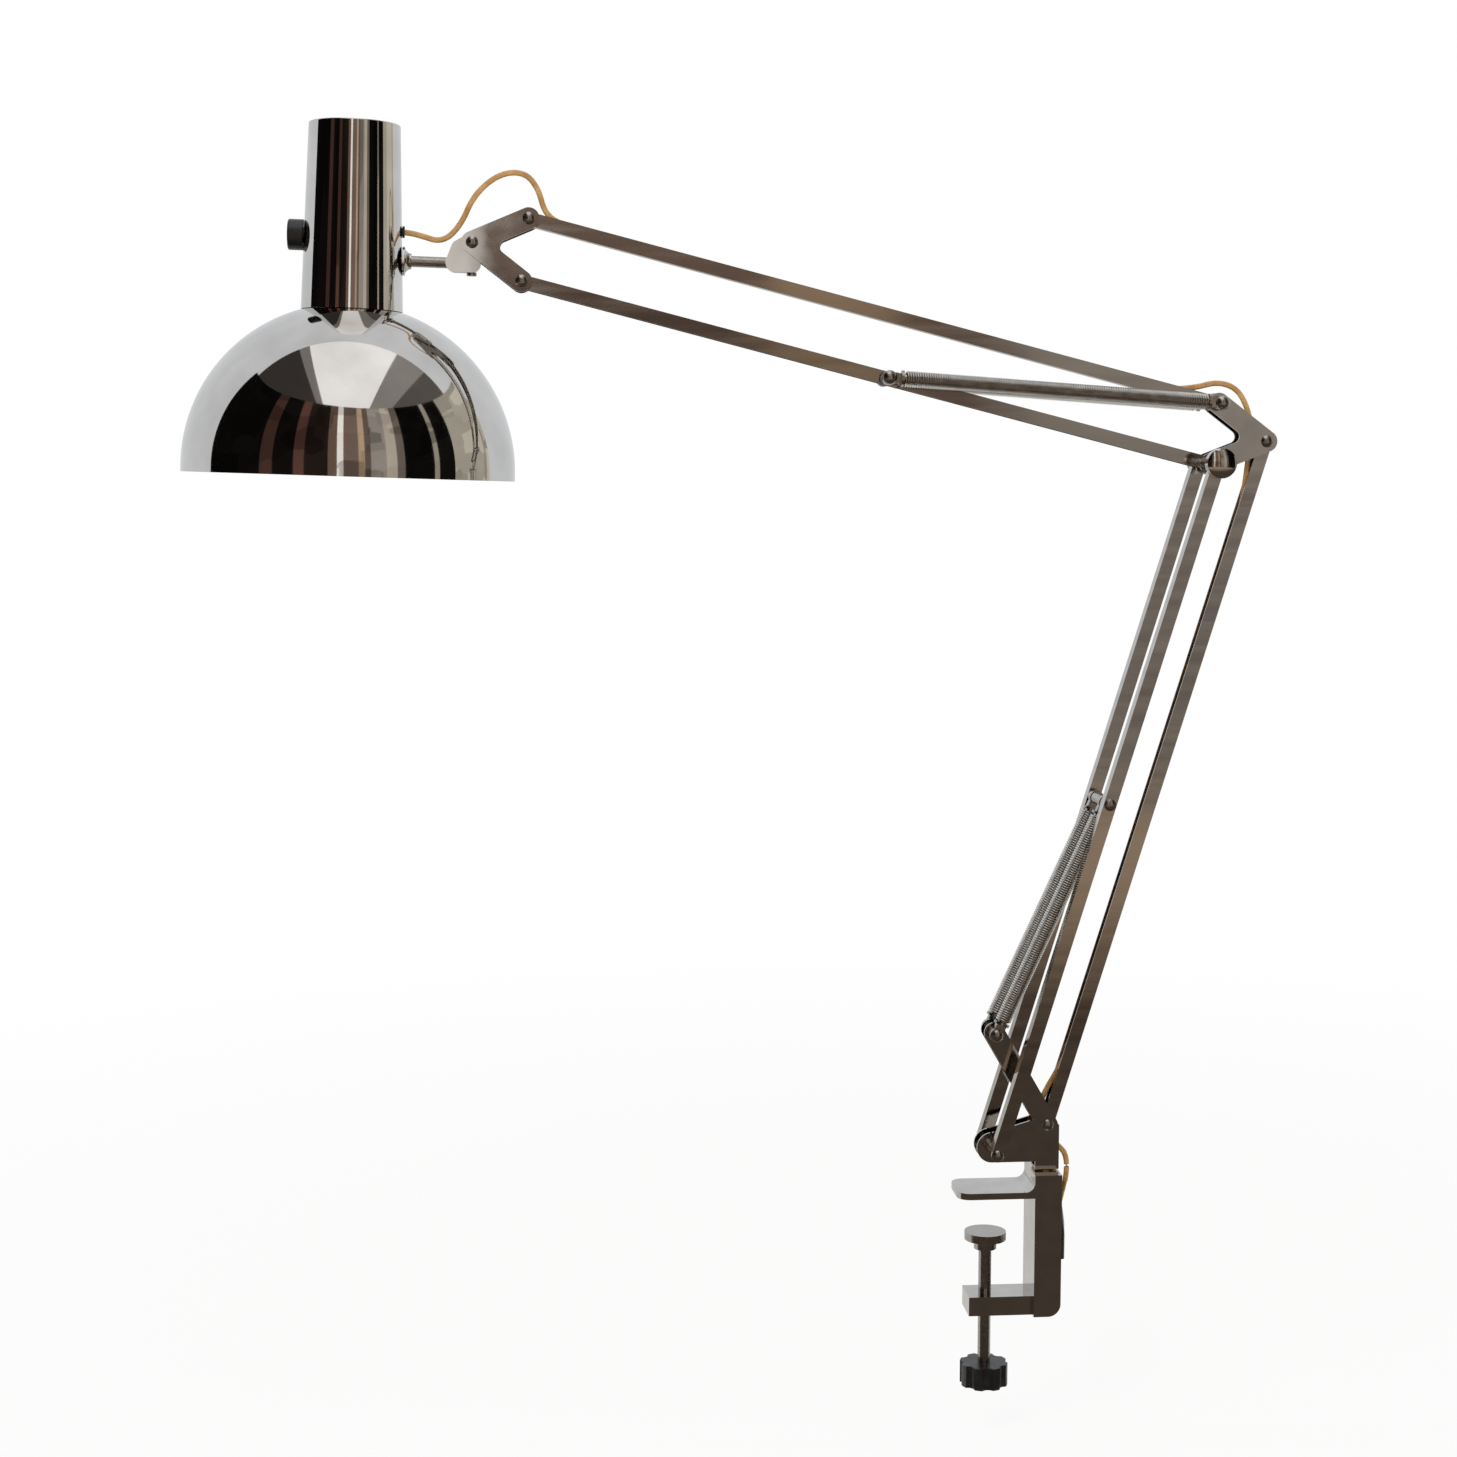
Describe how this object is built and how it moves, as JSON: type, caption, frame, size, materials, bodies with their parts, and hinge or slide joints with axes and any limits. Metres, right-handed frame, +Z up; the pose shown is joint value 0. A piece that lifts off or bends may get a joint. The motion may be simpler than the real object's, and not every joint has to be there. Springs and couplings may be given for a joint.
{
  "type": "clamp-on desk lamp",
  "caption": "Spring-balanced desk lamp on a screw clamp: twin-bar jointed arms, paired coil springs, and a tilting chrome dome shade with a rotary switch and bulb.",
  "frame": {"origin": "middle of the upper clamp jaw's underside, the face that lies on the table top", "axes": "+Z up, +X from the shade towards the clamp's back, -Y the front that the picture shows"},
  "size_m": [0.6614, 0.2286, 0.7772],
  "materials": {
    "chrome_plate": "bright plate on pressed and turned steel",
    "bright_steel": "bright turned steel",
    "spring_steel": "nickel-plated spring wire",
    "bush_brass": "plain turned",
    "black_plastic": "moulded, semi-gloss",
    "cord_plastic": "translucent gold-brown flex",
    "black_rubber": "moulded",
    "bulb_glass": "frosted",
    "cap_aluminium": "rolled thread",
    "pin_nickel": "nickel-plated brass"
  },
  "bodies": {
    "clamp": {"clamp_frame": "chrome_plate", "swivel_bush": "bush_brass", "lead_cord": "cord_plastic", "lead_coil": "cord_plastic", "coil_tie": "black_rubber", "plug_cord": "cord_plastic", "plug_body": "black_plastic", "plug_pins": "pin_nickel"},
    "clamp_foot": {"clamp_foot": "bright_steel"},
    "clamp_screw": {"clamp_screw": "bright_steel", "clamp_handle": "black_plastic"},
    "base_bracket": {"base_bracket": "chrome_plate", "swivel_pin": "bright_steel", "base_pins": "bright_steel", "base_sleeves": "bright_steel", "base_cord": "cord_plastic"},
    "lower_arm": {"lower_front_bar_near": "chrome_plate", "lower_front_bar_far": "chrome_plate", "lower_spring_pin": "bright_steel", "lower_sleeves": "bright_steel", "elbow_bolt": "bright_steel", "elbow_nut": "bright_steel"},
    "elbow_knob": {"elbow_knob": "chrome_plate"},
    "rear_bar": {"lower_rear_bar": "chrome_plate", "cord_in_rear_bar": "cord_plastic"},
    "lower_springs": {"lower_spring_near": "spring_steel", "lower_spring_far": "spring_steel", "lower_spring_feet": "bright_steel"},
    "lower_spring_ends": {"lower_spring_plugs": "bright_steel"},
    "elbow": {"elbow_plates": "chrome_plate", "elbow_pins": "bright_steel", "elbow_sleeves": "bright_steel", "elbow_cord": "cord_plastic"},
    "upper_top_bar": {"upper_top_bar": "chrome_plate", "cord_in_upper_bar": "cord_plastic"},
    "upper_bottom_bar": {"upper_bottom_bar": "chrome_plate", "upper_spring_pin": "bright_steel", "upper_sleeves": "bright_steel"},
    "upper_springs": {"upper_spring_near": "spring_steel", "upper_spring_far": "spring_steel", "upper_spring_feet": "bright_steel"},
    "upper_spring_ends": {"upper_spring_plugs": "bright_steel"},
    "head_bracket": {"head_plates": "chrome_plate", "head_pins": "bright_steel", "hub_pin": "bright_steel", "head_cord": "cord_plastic"},
    "head_knuckle": {"knuckle": "chrome_plate", "knuckle_screw": "bright_steel", "head_rod": "bright_steel", "rod_nut": "bright_steel"},
    "shade": {"neck": "chrome_plate", "shade_dome": "chrome_plate", "neck_flange": "chrome_plate", "holder_bracket": "bright_steel", "lamp_holder": "black_plastic", "bulb_cap": "cap_aluminium", "bulb_glass": "bulb_glass", "switch_body": "black_plastic", "cord_grommet": "black_rubber"},
    "switch_knob": {"switch_knob": "black_plastic"}
  },
  "joints": [
    {"name": "foot_slide", "type": "slide", "parent": "clamp", "child": "clamp_foot", "axis": [0, 0, 1], "range_m": [-0.027, 0.024]},
    {"name": "screw_turn", "type": "hinge", "parent": "clamp_foot", "child": "clamp_screw", "pos_m": [-0.002, 0, -0.036], "axis": [0, 0, 1], "range_deg": [-4100, 3500]},
    {"name": "base_swivel", "type": "hinge", "parent": "clamp", "child": "base_bracket", "pos_m": [0.035, 0, 0.0145], "axis": [0, 0, 1], "range_deg": [-120, 120], "deforming": ["base_cord"]},
    {"name": "lower_arm_tilt", "type": "hinge", "parent": "base_bracket", "child": "lower_arm", "pos_m": [0.0007, 0, 0.03], "axis": [0, 1, 0], "range_deg": [-10, 25], "deforming": ["lower_spring_near", "lower_spring_far", "lower_spring_plugs", "base_cord", "cord_in_rear_bar"]},
    {"name": "rear_bar_tilt", "type": "hinge", "parent": "base_bracket", "child": "rear_bar", "pos_m": [0.0358, 0, 0.0436], "axis": [0, 1, 0], "range_deg": [-10, 25]},
    {"name": "lower_springs_swing", "type": "hinge", "parent": "base_bracket", "child": "lower_springs", "pos_m": [0.0014, 0, 0.103], "axis": [0, 1, 0], "range_deg": [-14, 34.5]},
    {"name": "lower_springs_stretch", "type": "slide", "parent": "lower_springs", "child": "lower_spring_ends", "axis": [0.4155, 0, 0.9096], "range_m": [-0.008, 0.018]},
    {"name": "elbow_turn", "type": "hinge", "parent": "lower_arm", "child": "elbow", "pos_m": [0.13088, 0, 0.45449], "axis": [0, 1, 0], "range_deg": [-25, 10], "deforming": ["elbow_cord"]},
    {"name": "elbow_knob_turn", "type": "hinge", "parent": "lower_arm", "child": "elbow_knob", "pos_m": [0.13088, -0.0258, 0.45449], "axis": [0, 1, 0], "range_deg": [-180, 180]},
    {"name": "upper_arm_tilt", "type": "hinge", "parent": "elbow", "child": "upper_top_bar", "pos_m": [0.13558, 0, 0.49109], "axis": [0, 1, 0], "range_deg": [-25, 25], "deforming": ["upper_spring_near", "upper_spring_far", "upper_spring_plugs", "head_cord"]},
    {"name": "bottom_bar_tilt", "type": "hinge", "parent": "elbow", "child": "upper_bottom_bar", "pos_m": [0.13088, 0, 0.45449], "axis": [0, 1, 0], "range_deg": [-25, 25]},
    {"name": "upper_springs_swing", "type": "hinge", "parent": "elbow", "child": "upper_springs", "pos_m": [0.13558, 0, 0.49109], "axis": [0, 1, 0], "range_deg": [-25, 25]},
    {"name": "upper_springs_stretch", "type": "slide", "parent": "upper_springs", "child": "upper_spring_ends", "axis": [-0.9975, 0, 0.071], "range_m": [-0.017, 0.017]},
    {"name": "head_level", "type": "hinge", "parent": "upper_top_bar", "child": "head_bracket", "pos_m": [-0.28284, 0, 0.59852], "axis": [0, 1, 0], "range_deg": [-25, 25]},
    {"name": "head_tilt", "type": "hinge", "parent": "head_bracket", "child": "head_knuckle", "pos_m": [-0.31634, 0, 0.58442], "axis": [0, 1, 0], "range_deg": [-25, 75]},
    {"name": "head_roll", "type": "hinge", "parent": "head_knuckle", "child": "shade", "pos_m": [-0.31673, 0, 0.57223], "axis": [0.9995, 0, -0.0314], "range_deg": [-60, 60]},
    {"name": "switch_turn", "type": "hinge", "parent": "shade", "child": "switch_knob", "pos_m": [-0.41627, 0, 0.58836], "axis": [0.9995, 0, -0.0314], "range_deg": [0, 90]}
  ],
  "couplings": [
    {"joint": "screw_turn", "follows": "foot_slide", "rad_per_m": 2513.3},
    {"joint": "rear_bar_tilt", "follows": "lower_arm_tilt", "ratio": 1},
    {"joint": "lower_springs_swing", "follows": "lower_arm_tilt", "ratio": 1.36},
    {"joint": "lower_springs_stretch", "follows": "lower_arm_tilt", "m_per_rad": 0.038},
    {"joint": "elbow_turn", "follows": "lower_arm_tilt", "ratio": -1},
    {"joint": "bottom_bar_tilt", "follows": "upper_arm_tilt", "ratio": 1},
    {"joint": "upper_springs_swing", "follows": "upper_arm_tilt", "ratio": 0.99},
    {"joint": "upper_springs_stretch", "follows": "upper_arm_tilt", "m_per_rad": -0.03575},
    {"joint": "head_level", "follows": "upper_arm_tilt", "ratio": -1}
  ]
}
